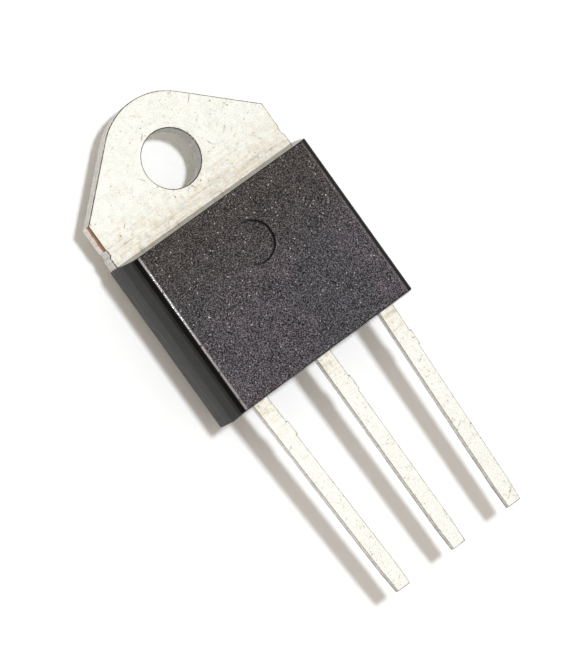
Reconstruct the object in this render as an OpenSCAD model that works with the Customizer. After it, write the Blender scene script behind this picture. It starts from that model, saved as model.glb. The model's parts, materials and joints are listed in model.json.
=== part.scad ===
// Insulated power triac in a flat plastic package with a screw-down tab and three flat leads.
// The origin is the centre of the tab's hole on the mounting face. +Y runs to the tab's round
// end, the leads run to -Y, and +Z is the side away from the heatsink.

/* [Tab] */
// Thickness of the copper tab
tab_t = 1.5; // [1.2:0.05:2]
// Radius of the tab's round end, about the hole's centre
nose_r = 4.6; // [3.6:0.1:5.6]
// Diameter of the screw hole
hole_d = 4.1; // [3:0.05:5]
// From the moulding's widest line in to the tab's straight sides
tab_inset = 0.24; // [0.2:0.02:0.8]
// From the hole's centre down to the corners where the straight sides begin
shoulder_drop = 0.45; // [0:0.05:1]
// From the hole's centre to the plastic, at the tab's front face
hole_to_body = 3.75; // [3.3:0.05:5]
// Length of the sheared tie bar left on each side
tie_bar_len = 1.95; // [0.5:0.05:2.1]
// How far a sheared tie bar stands out of the side
tie_bar_proud = 0.06; // [0:0.02:0.15]
// Length of the wider collar beside the plastic
collar_len = 0.75; // [0.3:0.05:1]
// How far the collar's sides lie inside the moulding's back corners
collar_inset = 0.08; // [0:0.01:0.15]

/* [Body] */
// Width of the moulding at its parting line
body_w = 15.3; // [15.2:0.1:17]
// Length of the moulding between its two parting edges
body_len = 12.55; // [12.2:0.05:16]
// Height of the moulding above the mounting face
body_h = 4.5; // [4.3:0.1:6]
// Draft of the two long walls in front of the parting line, in degrees
front_draft = 8.5; // [0:0.5:12]
// Draft of the two end walls on their front side, in degrees
end_draft = 5; // [0:0.5:8]
// Draft of the walls behind the parting line, in degrees
back_draft = 1; // [0:0.5:6]
// Width of the chamfers along the two long front edges
edge_chamfer = 0.42; // [0.1:0.02:0.8]
// Diameter of the round ejector pin mark
pin_mark_d = 3; // [1:0.1:5]
// Depth of the ejector pin mark
pin_mark_depth = 0.14; // [0.05:0.01:0.2]
// From the front face's tab edge to the centre of the pin mark
pin_mark_drop = 3.55; // [2.8:0.05:6]
// From the middle of the moulding to the pin mark, towards the gate lead
pin_mark_shift = 0.15; // [-1:0.05:1]

/* [Header inside the moulding] */
// Plastic beside the header at the mounting face
header_side_cover = 0.85; // [0.4:0.05:1.5]
// Plastic beyond the header's end at the mounting face
header_end_cover = 1.5; // [0.8:0.1:2.5]
// Length over which the tab narrows to the header
header_neck_len = 0.6; // [0.3:0.1:1.5]
// Radius of the moulding locks in the header's sides
lock_r = 0.5; // [0.2:0.05:0.8]
// Distance between the two locks of one side
lock_pitch = 4.4; // [2:0.1:6]

/* [Insulator] */
// Width of the ceramic tile
tile_w = 10.6; // [9.6:0.1:12]
// Length of the ceramic tile
tile_len = 8.3; // [7.7:0.1:8.5]
// Thickness of the ceramic tile
tile_t = 0.65; // [0.4:0.05:1]
// From the moulding's tab end to the tile
tile_drop = 0.95; // [0.5:0.05:1.2]
// Bare ceramic rim round the bonded copper foils
foil_margin = 0.5; // [0.3:0.05:0.8]
// Thickness of each bonded foil
foil_t = 0.2; // [0.1:0.05:0.3]
// Thickness of the solder under the tile and under the paddle
sheet_solder_t = 0.1; // [0.05:0.01:0.15]

/* [Chip] */
// Side of the square triac chip
chip_w = 6; // [4.5:0.1:6.2]
// Thickness of the chip
chip_t = 0.25; // [0.15:0.05:0.35]
// Thickness of the solder under and on the chip
chip_solder_t = 0.05; // [0.03:0.01:0.08]
// Passivated rim round the chip's front contacts
chip_rim = 0.5; // [0.3:0.05:0.8]
// Side of the square gate contact in the chip's corner, under the gate clip
gate_pad_w = 1; // [0.7:0.05:1.3]
// Gap between the gate contact and the main contact
contact_gap = 0.4; // [0.2:0.05:0.6]

/* [Leads] */
// Distance between the centres of neighbouring leads
lead_pitch = 5.45; // [5.2:0.05:5.7]
// Width of a lead
lead_w = 1.18; // [0.8:0.02:1.6]
// Thickness of the lead frame
lead_t = 0.55; // [0.4:0.05:0.7]
// Length of a lead outside the moulding
lead_len = 15.3; // [8:0.1:22]
// How far the tip of each outer lead is pushed inwards
lead_toe_in = 0.6; // [0:0.05:1]
// How far all three tips are bent to the right
lead_sway = 0.2; // [-0.5:0.05:0.5]
// How far all three tips are bent down
lead_droop = 0.45; // [0:0.05:1.5]
// From the moulding to the sheared dam bar
dam_drop = 2; // [1:0.1:4]
// Length of a dam bar's remains along a lead
dam_len = 1.1; // [0.5:0.1:2]
// How far a dam bar's remains stand out on the right of a lead
dam_proud = 0.1; // [0:0.02:0.2]
// Length over which a lead narrows to its tip
tip_len = 1.8; // [0.5:0.1:3]
// Width lost on each side of a tip
tip_taper = 0.07; // [0:0.01:0.3]
// Bare foil round the paddle that carries the chip
paddle_margin = 0.3; // [0.1:0.05:0.5]
// Width of the inner pad of each outer lead
post_w = 2.7; // [2.3:0.1:3]
// Length of the inner pad of each outer lead
post_len = 1.9; // [1.7:0.1:2]
// Plastic between the inner pads and the leads' end of the moulding
post_cover = 1.2; // [1:0.1:1.3]

/* [Clips] */
// Thickness of the copper clips
clip_t = 0.3; // [0.2:0.05:0.35]
// Width of the gate clip
gate_clip_w = 0.8; // [0.6:0.05:1]
// Length of a clip's foot on its inner pad
foot_len = 1.2; // [0.8:0.1:1.4]
// Width of the main clip's foot
foot_w = 1.9; // [1:0.1:2.2]
// Bare inner pad in front of a clip's foot
foot_margin = 0.3; // [0.1:0.05:0.3]
// Length of the sloping step between a clip's arm and its foot
step_len = 0.35; // [0.2:0.05:0.45]

/* [Hidden] */

// Heights of the stack over the mounting face
tile_solder_z = tab_t;
back_foil_z = tile_solder_z + sheet_solder_t;
tile_z = back_foil_z + foil_t;
front_foil_z = tile_z + tile_t;
paddle_solder_z = front_foil_z + foil_t;
lead_z = paddle_solder_z + sheet_solder_t;
lead_top_z = lead_z + lead_t;
chip_z = lead_top_z + chip_solder_t;
contact_z = chip_z + chip_t;
clip_z = contact_z + chip_solder_t;
foot_z = lead_top_z + chip_solder_t;

// Ends of the moulding along Y, at its parting edges
tab_end_y = -hole_to_body;
lead_end_y = tab_end_y - body_len;
// The parting line runs at the back of the lead frame
part_z = lead_z;
// A little extra length for cutting outlines
over = 1;
// The moulding's cuts for solder reach this far into the pieces on both sides, which are cut too
seam = 0.01;

// Moulding
back_half_w = body_w / 2 - part_z * tan(back_draft);
chamfer_z = body_h - edge_chamfer;
chamfer_half_w = body_w / 2 - (chamfer_z - part_z) * tan(front_draft);
face_half_w = chamfer_half_w - edge_chamfer;
face_tab_y = tab_end_y - (body_h - tab_t) * tan(end_draft);
face_lead_y = lead_end_y + (body_h - part_z) * tan(end_draft);
back_tab_y = tab_end_y - tab_t * tan(back_draft);
back_lead_y = lead_end_y + part_z * tan(back_draft);
pin_mark_y = face_tab_y - pin_mark_drop;

// Tab and header
tab_half_w = body_w / 2 - tab_inset;
shoulder = [tab_half_w, -shoulder_drop];
shoulder_dist = norm(shoulder);
tangent_angle = atan2(shoulder[1], shoulder[0]) + acos(nose_r / shoulder_dist);
header_half_w = back_half_w - header_side_cover;
header_end_y = back_lead_y + header_end_cover;
header_neck_y = tab_end_y - header_neck_len;
collar_half_w = back_half_w - collar_inset;
lock_mid_y = (header_neck_y + header_end_y) / 2;

// Insulator, paddle and chip
tile_tab_y = tab_end_y - tile_drop;
tile_lead_y = tile_tab_y - tile_len;
tile_mid_y = (tile_tab_y + tile_lead_y) / 2;
foil_w = tile_w - 2 * foil_margin;
foil_len = tile_len - 2 * foil_margin;
paddle_w = foil_w - 2 * paddle_margin;
paddle_len = foil_len - 2 * paddle_margin;
chip_lead_y = tile_mid_y - chip_w / 2;
contact_w = chip_w - 2 * chip_rim;
contact_lead_y = chip_lead_y + chip_rim;
// The gate contact takes one corner of the contact area
gate_pad_x = contact_w / 2 - gate_pad_w / 2;
gate_pad_y = contact_lead_y + gate_pad_w / 2;
main_pad_w = contact_w - gate_pad_w - contact_gap;

// Inner pads of the outer leads, and the feet of the clips on them
post_lead_y = lead_end_y + post_cover;
post_tab_y = post_lead_y + post_len;
post_mid_y = post_lead_y + post_len / 2;
foot_tab_y = post_tab_y - foot_margin;
foot_lead_y = foot_tab_y - foot_len;
main_pad_x = -contact_w / 2 + main_pad_w / 2;
step_top_y = foot_tab_y + step_len;

// A plate with a flat outline, from one height upwards
module plate(z, t) {
    translate([0, 0, z])
        linear_extrude(height = t)
            children();
}

// A thin plate that may reach into the pieces under and over it
module layer(z, t, reach) {
    plate(z - reach, t + 2 * reach)
        children();
}

// A rectangle by its centre
module patch(x, y, w, len) {
    translate([x - w / 2, y - len / 2])
        square([w, len]);
}

// An outline across X and Z, run along Y from one end to the other
module run_along_y(y_low, y_high) {
    translate([0, y_high, 0])
        rotate([90, 0, 0])
            linear_extrude(height = y_high - y_low)
                children();
}

// An outline across Y and Z, run along X to both sides of the middle
module run_along_x(width) {
    translate([-width / 2, 0, 0])
        rotate([90, 0, 90])
            linear_extrude(height = width)
                children();
}

// ---- moulding ----

module body_end_outline() {
    polygon([[-back_half_w, 0], [back_half_w, 0], [body_w / 2, part_z],
             [chamfer_half_w, chamfer_z], [face_half_w, body_h],
             [-face_half_w, body_h], [-chamfer_half_w, chamfer_z], [-body_w / 2, part_z]]);
}

module body_side_outline() {
    polygon([[back_tab_y, 0], [tab_end_y, tab_t], [face_tab_y, body_h],
             [face_lead_y, body_h], [lead_end_y, part_z], [back_lead_y, 0]]);
}

module body_form() {
    intersection() {
        run_along_y(lead_end_y - over, tab_end_y + over)
            body_end_outline();
        run_along_x(body_w + 2 * over)
            body_side_outline();
    }
}

// The moulding is cast round every other piece
module moulded_body() {
    color("#3a3a3c")
        difference() {
            body_form();
            translate([pin_mark_shift, pin_mark_y, body_h - pin_mark_depth])
                cylinder(h = pin_mark_depth + over, d = pin_mark_d, $fn = 72);
            heat_tab();
            tile_solder(seam);
            insulator_back_foil();
            insulator_tile();
            insulator_front_foil();
            paddle_solder(seam);
            paddle_lead();
            chip_solder(seam);
            triac_chip();
            main_contact_solder(seam);
            gate_contact_solder(seam);
            main_clip();
            gate_clip();
            main_post_solder(seam);
            gate_post_solder(seam);
            main_lead();
            gate_lead();
        }
}

// ---- tab ----

function on_nose(angle) = [nose_r * cos(angle), nose_r * sin(angle)];

// The tab's outline below its round end, with the header that the moulding hides
module tab_outline() {
    tie_half_w = tab_half_w + tie_bar_proud;
    tie_y = -shoulder_drop - tie_bar_len;
    collar_y = tab_end_y + collar_len;
    right = [on_nose(tangent_angle), shoulder, [tie_half_w, -shoulder_drop - tie_bar_proud],
             [tie_half_w, tie_y], [tab_half_w, tie_y - tie_bar_proud],
             [tab_half_w, collar_y + collar_half_w - tab_half_w],
             [collar_half_w, collar_y], [collar_half_w, tab_end_y],
             [header_half_w, header_neck_y], [header_half_w, header_end_y]];
    left = [for (i = [len(right) - 1:-1:0]) [-right[i][0], right[i][1]]];
    polygon(concat(right, left));
}

module heat_tab() {
    color("#d9d5c9")
        difference() {
            union() {
                cylinder(h = tab_t, r = nose_r, $fn = 96);
                plate(0, tab_t)
                    tab_outline();
            }
            translate([0, 0, -over])
                cylinder(h = tab_t + 2 * over, d = hole_d, $fn = 72);
            for (side = [-1, 1], along = [-1, 1])
                translate([side * header_half_w, lock_mid_y + along * lock_pitch / 2, -over])
                    cylinder(h = tab_t + 2 * over, r = lock_r, $fn = 32);
        }
}

// ---- insulator ----

module tile_solder(reach = 0) {
    color("#b8babd")
        layer(tile_solder_z, sheet_solder_t, reach)
            patch(0, tile_mid_y, foil_w, foil_len);
}

module insulator_back_foil() {
    color("#b87345")
        plate(back_foil_z, foil_t)
            patch(0, tile_mid_y, foil_w, foil_len);
}

module insulator_tile() {
    color("#f2efe6")
        plate(tile_z, tile_t)
            patch(0, tile_mid_y, tile_w, tile_len);
}

module insulator_front_foil() {
    color("#b87345")
        plate(front_foil_z, foil_t)
            patch(0, tile_mid_y, foil_w, foil_len);
}

module paddle_solder(reach = 0) {
    color("#b8babd")
        layer(paddle_solder_z, sheet_solder_t, reach)
            patch(0, tile_mid_y, paddle_w, paddle_len);
}

// ---- leads ----

// Plan of one lead from inside its pad to its tip
module lead_plan(x, tip_x, start_y) {
    half = lead_w / 2;
    end_y = lead_end_y - lead_len;
    dam_y = lead_end_y - dam_drop;
    function mid(y) = y > lead_end_y ? x : x + (tip_x - x) * (lead_end_y - y) / lead_len;
    function edge(y, off) = [mid(y) + off, y];
    polygon([edge(start_y, -half), edge(start_y, half), edge(lead_end_y, half),
             edge(dam_y, half), edge(dam_y, half + dam_proud),
             edge(dam_y - dam_len, half + dam_proud), edge(dam_y - dam_len, half),
             edge(end_y + tip_len, half), edge(end_y, half - tip_taper),
             edge(end_y, tip_taper - half), edge(end_y + tip_len, -half),
             edge(lead_end_y, -half)]);
}

// Side view of the lead frame: flat inside the moulding and bent down a little outside
module lead_side_outline() {
    end_y = lead_end_y - lead_len;
    polygon([[tab_end_y, lead_z], [tab_end_y, lead_top_z], [lead_end_y, lead_top_z],
             [end_y, lead_top_z - lead_droop], [end_y, lead_z - lead_droop],
             [lead_end_y, lead_z]]);
}

// A piece of the lead frame: its plan outlines joined, within the frame's side view
module lead_form() {
    intersection() {
        union()
            for (i = [0:$children - 1])
                plate(0, lead_top_z + over)
                    children(i);
        run_along_x(body_w + 2 * over)
            lead_side_outline();
    }
}

module post_patch(x) {
    patch(x, post_mid_y, post_w, post_len);
}

module outer_lead(side) {
    lead_form() {
        post_patch(side * lead_pitch);
        lead_plan(side * lead_pitch, side * (lead_pitch - lead_toe_in) + lead_sway, post_mid_y);
    }
}

module paddle_lead() {
    color("#d2d0c8")
        lead_form() {
            patch(0, tile_mid_y, paddle_w, paddle_len);
            lead_plan(0, lead_sway, tile_mid_y);
        }
}

module main_lead() {
    color("#d2d0c8")
        outer_lead(-1);
}

module gate_lead() {
    color("#d2d0c8")
        outer_lead(1);
}

// ---- chip ----

module main_contact() {
    difference() {
        patch(0, tile_mid_y, contact_w, contact_w);
        translate([main_pad_x + main_pad_w / 2, contact_lead_y - over])
            square([contact_w, gate_pad_w + contact_gap + over]);
    }
}

module chip_solder(reach = 0) {
    color("#b8babd")
        layer(lead_top_z, chip_solder_t, reach)
            patch(0, tile_mid_y, chip_w, chip_w);
}

module triac_chip() {
    color("#5d6068")
        plate(chip_z, chip_t)
            patch(0, tile_mid_y, chip_w, chip_w);
}

module main_contact_solder(reach = 0) {
    color("#b8babd")
        layer(contact_z, chip_solder_t, reach)
            main_contact();
}

module gate_contact_solder(reach = 0) {
    color("#b8babd")
        layer(contact_z, chip_solder_t, reach)
            patch(gate_pad_x, gate_pad_y, gate_clip_w, gate_clip_w);
}

// ---- clips ----

// Side view of a clip: a raised arm over the chip, a step, and a foot on the inner pad
module clip_side_outline() {
    polygon([[tab_end_y, clip_z], [tab_end_y, clip_z + clip_t],
             [step_top_y, clip_z + clip_t], [foot_tab_y, foot_z + clip_t],
             [foot_lead_y, foot_z + clip_t], [foot_lead_y, foot_z],
             [foot_tab_y, foot_z], [step_top_y, clip_z]]);
}

module clip_form() {
    intersection() {
        union()
            for (i = [0:$children - 1])
                plate(0, body_h)
                    children(i);
        run_along_x(body_w)
            clip_side_outline();
    }
}

module foot_patch(x, w) {
    patch(x, (foot_tab_y + foot_lead_y) / 2, w, foot_len);
}

// A strap that runs from one width on the chip to another at the foot
module strap(x_from, w_from, y_from, x_to, w_to) {
    polygon([[x_from - w_from / 2, y_from], [x_from + w_from / 2, y_from],
             [x_to + w_to / 2, step_top_y], [x_to + w_to / 2, foot_lead_y],
             [x_to - w_to / 2, foot_lead_y], [x_to - w_to / 2, step_top_y]]);
}

module main_clip() {
    color("#c07c4c")
        clip_form() {
            main_contact();
            strap(main_pad_x, main_pad_w, contact_lead_y, -lead_pitch, foot_w);
        }
}

module gate_clip() {
    color("#c07c4c")
        clip_form() {
            patch(gate_pad_x, gate_pad_y, gate_clip_w, gate_clip_w);
            strap(gate_pad_x, gate_clip_w, gate_pad_y, lead_pitch, gate_clip_w);
        }
}

module main_post_solder(reach = 0) {
    color("#b8babd")
        layer(lead_top_z, chip_solder_t, reach)
            foot_patch(-lead_pitch, foot_w);
}

module gate_post_solder(reach = 0) {
    color("#b8babd")
        layer(lead_top_z, chip_solder_t, reach)
            foot_patch(lead_pitch, gate_clip_w);
}

moulded_body();
heat_tab();
tile_solder();
insulator_back_foil();
insulator_tile();
insulator_front_foil();
paddle_solder();
paddle_lead();
chip_solder();
triac_chip();
main_contact_solder();
gate_contact_solder();
main_clip();
gate_clip();
main_post_solder();
gate_post_solder();
main_lead();
gate_lead();
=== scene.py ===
import functools
import json
import math

import bmesh
import bpy
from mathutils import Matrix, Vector, noise


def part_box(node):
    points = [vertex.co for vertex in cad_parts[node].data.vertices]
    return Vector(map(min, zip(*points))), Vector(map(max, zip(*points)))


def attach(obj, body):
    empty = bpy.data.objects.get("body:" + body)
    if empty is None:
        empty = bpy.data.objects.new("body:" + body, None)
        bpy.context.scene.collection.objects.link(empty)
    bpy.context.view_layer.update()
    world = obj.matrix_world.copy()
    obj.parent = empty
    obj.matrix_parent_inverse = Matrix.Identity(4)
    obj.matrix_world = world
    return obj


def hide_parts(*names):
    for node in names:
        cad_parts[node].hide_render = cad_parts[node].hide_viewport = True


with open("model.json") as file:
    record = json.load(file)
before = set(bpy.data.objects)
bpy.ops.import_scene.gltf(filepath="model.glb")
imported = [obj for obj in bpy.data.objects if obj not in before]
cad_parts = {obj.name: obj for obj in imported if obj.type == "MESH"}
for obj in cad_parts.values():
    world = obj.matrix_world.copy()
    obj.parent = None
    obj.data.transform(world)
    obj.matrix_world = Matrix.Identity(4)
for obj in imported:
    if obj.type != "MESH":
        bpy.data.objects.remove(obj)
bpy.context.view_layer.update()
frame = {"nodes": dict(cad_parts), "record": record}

bl_info = {
    "name": "Insulated Power Triac",
    "version": (1, 0, 0),
    "blender": (4, 5, 0),
    "location": "3D View > Sidebar > Triac",
    "description": "Dresses the packed triac: moulding, plated tab and leads, inner pieces and stage",
    "category": "Object",
}

NODES = frame["nodes"]
MM = 0.001  # the meshes are worked on in millimetres and handed over in metres
BODY = "root"
EDGE = "edge"  # face attribute, 1 on rounded edges

BODY_LOW, BODY_HIGH = (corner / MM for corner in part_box("moulded_body"))
TAB_LOW, TAB_HIGH = (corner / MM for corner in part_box("heat_tab"))
LEAD_LOW, LEAD_HIGH = (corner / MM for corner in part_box("paddle_lead"))
TIPS = {m["name"].removesuffix("_tip"): Vector(m["pos_m"]) / MM
        for m in frame["record"]["mounts"] if m["name"].endswith("_lead_tip")}
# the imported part's measures that no box or mount gives, in millimetres
FACE_HALF = 7.031  # half the width of the front face, between the chamfers
FACE_DEPTH = 0.25  # the finish of the face and the chamfers starts this far under the top
PIN_MARK, PIN_RADIUS = (0.15, -7.5625), 1.5  # the ejector pin's mark in the front face
HOLE_RADIUS = 2.05  # of the hole through the tab, which is centred on the origin
TIE_BAR_Y = (-2.46, -0.45)  # the cut tie bars along the tab's sides
TAB_FACE_Y, LEAD_ROOT_Y = BODY_HIGH.y, BODY_LOW.y  # where the tab and the leads leave the moulding
LEAD_ROOT_X = {"main_lead": -5.45, "paddle_lead": 0.0, "gate_lead": 5.45}
LEAD_THICKNESS, LEAD_MIDDLE_Z = 0.55, 3.025  # the back of the leads lies on the parting line
GRAIN_FIELD = (6.77, 0.40, 0.52)  # the filler grains' half width, and their distance from the two ends
GRAIN_PROUD = 0.012  # the most that a filler grain stands out of the face
INSERTS = [name for name in sorted(NODES) if name != "moulded_body"]
FINISHES = {  # the finish of each material slot in the record
    "moulding": "moulding_compound", "tab_plating": "tab_tin", "lead_plating": "lead_tin",
    "bare_copper": "foil_copper", "solder": "soft_solder", "alumina": "alumina_ceramic",
    "silicon": "chip_silicon",
}


# ---- properties ----

def length(name, description, default):
    return bpy.props.FloatProperty(name=name, description=description, default=default, min=0.0,
                                   precision=6, subtype="DISTANCE", unit="LENGTH")


def colour(name, description, default):
    return bpy.props.FloatVectorProperty(name=name, description=description, default=default,
                                         size=3, min=0.0, max=1.0, subtype="COLOR")


def plain(name, description, default, **limits):
    return bpy.props.FloatProperty(name=name, description=description, default=default, min=0.0, **limits)


class TRIAC_PG_moulding(bpy.types.PropertyGroup):
    edge_radius: length("Edge radius", "Rounding of the moulding's outer edges", 0.0001)
    grain: length("Grain", "Size of the eroded grain on the front face", 0.000085)
    patch: length("Patch", "Size of the paler and darker patches on the front face", 0.0011)
    face_colour: colour("Front face", "Eroded front face by the tab", (0.0228, 0.0188, 0.0178))
    lower_colour: colour("Front face, lead end", "Eroded front face by the leads",
                         (0.0342, 0.0288, 0.0333))
    cool_colour: colour("Cool patches", "Bluish patches in the front face", (0.0262, 0.0250, 0.0290))
    wall_colour: colour("Walls", "Smoother side and end walls", (0.0165, 0.0165, 0.0165))
    # the chamfers' colour is painted shade, far darker than the walls of the same compound
    chamfer_shade_colour: colour("Chamfers", "Polished chamfers", (0.0015, 0.001, 0.0008))
    spark_colour: colour("Sparks", "Grains that catch the light", (0.44, 0.42, 0.43))
    # the pits' colour is painted shade in the recesses
    pit_shade_colour: colour("Pits", "Pits in the front face", (0.004, 0.004, 0.004))
    ring_shade_colour: colour("Pin mark", "Shaded rim of the ejector pin's mark", (0.002, 0.002, 0.002))
    # the rim's pale colour is a painted glint of the key light
    glint_colour: colour("Worn rim", "Handled edges of the front face", (0.26, 0.24, 0.225))
    grain_density: plain("Filler grains", "Bare filler grains on each square millimetre", 0.55)
    grain_small: length("Smallest filler grain", "Radius of the smallest bare grain", 0.000012)
    grain_large: length("Largest filler grain", "Radius of the largest bare grain", 0.000052)
    flash_step: length("Flash step", "Distance between crumbs of flash on the parting line", 0.00022)
    flash_size: length("Flash size", "Radius of the largest crumb of flash", 0.00002)


class TRIAC_PG_metal(bpy.types.PropertyGroup):
    tab_radius: length("Tab edge radius", "Rounding of the tab's edges", 0.00007)
    lead_radius: length("Lead edge radius", "Rounding of the leads' edges", 0.00005)
    lead_width: length("Lead width", "Width of a lead", 0.00118)
    mesh_step: length("Mesh step", "Length of the faces along the leads and across the tab", 0.0002)
    roughness_of_cut: length("Roughness of cut", "How far the sheared edges wander", 0.00002)
    burr_step: length("Burr step", "Distance between crumbs of burr along a sheared edge", 0.00016)
    burr_size: length("Burr size", "Radius of the largest crumb of burr", 0.000028)
    plating: colour("Tin plating", "Matt tin on the tab and the leads", (0.785, 0.785, 0.73))
    stain: colour("Stain", "Yellow to brown stains in the plating", (0.52, 0.36, 0.22))
    shear: colour("Sheared edge", "Pale sheared sides", (0.95, 0.92, 0.86))
    bare_copper: colour("Bare copper", "Torn copper where the tie bars were cut", (0.90, 0.80, 0.72))
    # the strip's dark colour is painted shade of the burr over the copper
    burr_shaded_copper: colour("Oxidised copper", "Burnished strip of a cut tie bar", (0.30, 0.13, 0.05))
    pit: colour("Pits", "Pits in the plating", (0.22, 0.18, 0.14))
    crack: colour("Hairlines", "Fine lines where the plating has parted", (0.34, 0.25, 0.17))
    scratch: colour("Scratches", "Dirt in the scratches", (0.30, 0.23, 0.17))
    # the edges' dark colour is painted shade
    painted_edge: colour("Worn edges", "Dark, rubbed edges", (0.13, 0.11, 0.09))


class TRIAC_PG_inner(bpy.types.PropertyGroup):
    copper: colour("Copper", "Foils and clips", (0.72, 0.38, 0.22))
    solder: colour("Solder", "Solder joints", (0.55, 0.56, 0.58))
    alumina: colour("Alumina", "Ceramic tile", (0.86, 0.84, 0.78))
    silicon: colour("Silicon", "Chip", (0.13, 0.14, 0.17))


class TRIAC_PG_stage(bpy.types.PropertyGroup):
    floor_size: length("Floor size", "Width of the square floor", 1.6)
    floor_gap: length("Floor gap", "How far the floor lies below the part", 0.0021)
    floor_colour: colour("Floor", "Pale paper under the part", (0.82, 0.82, 0.82))
    floor_white: plain("Floor white", "How pale the floor looks to the camera and in gloss", 1.02)
    key_tilt: plain("Key tilt", "Angle of the key light from straight up", math.radians(2.5),
                    subtype="ANGLE", unit="ROTATION")
    key_turn: plain("Key turn", "Direction of the key light round Z, from +X", math.radians(61),
                    subtype="ANGLE", unit="ROTATION")
    key_distance: length("Key distance", "From the part to the key light", 0.6)
    key_size: length("Key size", "Diameter of the key light", 0.06)
    key_power: plain("Key power", "Power of the key light", 2.22, unit="POWER")
    key_colour: colour("Key colour", "Colour of the key light", (0.90, 0.955, 1.0))
    sky_high: colour("Sky", "Soft light from above", (0.81, 0.733, 0.665))
    sky_low: colour("Horizon", "Soft light from the sides", (0.20, 0.184, 0.163))
    camera_place: bpy.props.FloatVectorProperty(
        name="Camera place", description="Where the camera stands", size=3, unit="LENGTH",
        subtype="TRANSLATION", default=(-0.119663, -0.002372, 0.322551), precision=6)
    camera_turn: bpy.props.FloatVectorProperty(
        name="Camera turn", description="The camera's XYZ rotation", size=3, unit="ROTATION",
        subtype="EULER", default=tuple(math.radians(a) for a in (10.7265, -17.5854, -37.5556)))
    camera_lens: plain("Camera lens", "Focal length in millimetres", 284.18)


# ---- shader nodes ----

class Graph:
    """Adds linked nodes to a tree. A value may be a number, a colour or another node's socket."""

    def __init__(self, tree):
        self.tree = tree

    def feed(self, socket, value):
        if isinstance(value, bpy.types.NodeSocket):
            self.tree.links.new(value, socket)
        elif socket.type == "RGBA" and len(value) == 3:
            socket.default_value = (*value, 1.0)
        else:
            socket.default_value = value

    def add(self, kind, inputs=None, **settings):
        node = self.tree.nodes.new(kind)
        for key, value in settings.items():
            setattr(node, key, value)
        for key, value in (inputs or {}).items():
            self.feed(node.inputs[key], value)
        return node

    def math(self, operation, a, b=0.0):
        return self.add("ShaderNodeMath", {0: a, 1: b}, operation=operation).outputs[0]

    def times(self, *values):
        return functools.reduce(lambda a, b: self.math("MULTIPLY", a, b), values)

    def plus(self, *values):
        return functools.reduce(lambda a, b: self.math("ADD", a, b), values)

    def minus(self, a, b):
        return self.math("SUBTRACT", a, b)

    def absolute(self, value):
        return self.math("ABSOLUTE", value)

    def vector(self, operation, a, b):
        return self.add("ShaderNodeVectorMath", {0: a, 1: b}, operation=operation).outputs[0]

    def scaled(self, value, factor):
        """A colour or a place times one factor or three."""
        return self.vector("MULTIPLY", value, (factor,) * 3 if isinstance(factor, float) else factor)

    def coordinates(self, kind):
        return self.add("ShaderNodeTexCoord").outputs[kind]

    def split(self, value):
        return self.add("ShaderNodeSeparateXYZ", {0: value}).outputs

    def ramp(self, value, low, high, to_low=0.0, to_high=1.0):
        return self.add("ShaderNodeMapRange", {"Value": value, "From Min": low, "From Max": high,
                                               "To Min": to_low, "To Max": to_high},
                        interpolation_type="SMOOTHSTEP").outputs[0]

    def blend(self, factor, a, b):
        return self.add("ShaderNodeMix", {0: factor, 6: a, 7: b}, data_type="RGBA",
                        clamp_factor=True).outputs[2]

    def paint(self, base, mask, share, tint):
        """The base, with a share of the tint where the mask is."""
        return self.blend(self.times(mask, share), base, tint)

    def noise(self, vector, size, detail=2.0, roughness=0.5):
        scale = self.math("DIVIDE", 1.0, size) if isinstance(size, bpy.types.NodeSocket) else 1.0 / size
        return self.add("ShaderNodeTexNoise", {"Vector": vector, "Scale": scale, "Detail": detail,
                                               "Roughness": roughness}).outputs["Fac"]

    def group(self, name, **inputs):
        return self.add("ShaderNodeGroup", {key.replace("_", " "): value for key, value in inputs.items()},
                        node_tree=bpy.data.node_groups[name]).outputs


SOCKETS = {"f": "NodeSocketFloat", "c": "NodeSocketColor", "v": "NodeSocketVector",
           "i": "NodeSocketInt", "m": "NodeSocketMaterial", "g": "NodeSocketGeometry"}


def new_group(name, inputs, outputs):
    """An empty shader node group. Inputs are (name, kind, default), outputs are (name, kind)."""
    tree = bpy.data.node_groups.new(name, "ShaderNodeTree")
    for label, kind, default in inputs:
        socket = tree.interface.new_socket(name=label, in_out="INPUT", socket_type=SOCKETS[kind])
        if default is not None:
            socket.default_value = default
    for label, kind in outputs:
        tree.interface.new_socket(name=label, in_out="OUTPUT", socket_type=SOCKETS[kind])
    graph = Graph(tree)
    return graph, graph.add("NodeGroupInput").outputs, graph.add("NodeGroupOutput").inputs


def build_grain_group():
    """Fine grain, a height for bump and large soft patches."""
    g, given, out = new_group("Grain", [("Vector", "v", None), ("Size", "f", 0.1), ("Patch", "f", 1.0)],
                              [("Fine", "f"), ("Height", "f"), ("Patches", "f")])
    # turned, because a noise is flat where a face lies along its grid
    turned = g.add("ShaderNodeVectorRotate", {"Vector": given["Vector"], "Rotation": (0.6, 0.4, 0.9)},
                   rotation_type="EULER_XYZ").outputs[0]
    fine = g.noise(turned, given["Size"], 3.0, 0.65)
    larger = g.times(given["Size"], 2.6)
    bumps = g.noise(turned, larger, 2.0, 0.5)
    patches = g.noise(turned, given["Patch"], 3.0, 0.55)
    g.feed(out["Fine"], g.ramp(fine, 0.32, 0.70))
    g.feed(out["Height"], g.plus(g.times(fine, 0.6), g.times(bumps, 0.4)))
    g.feed(out["Patches"], g.ramp(patches, 0.36, 0.64))


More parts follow.
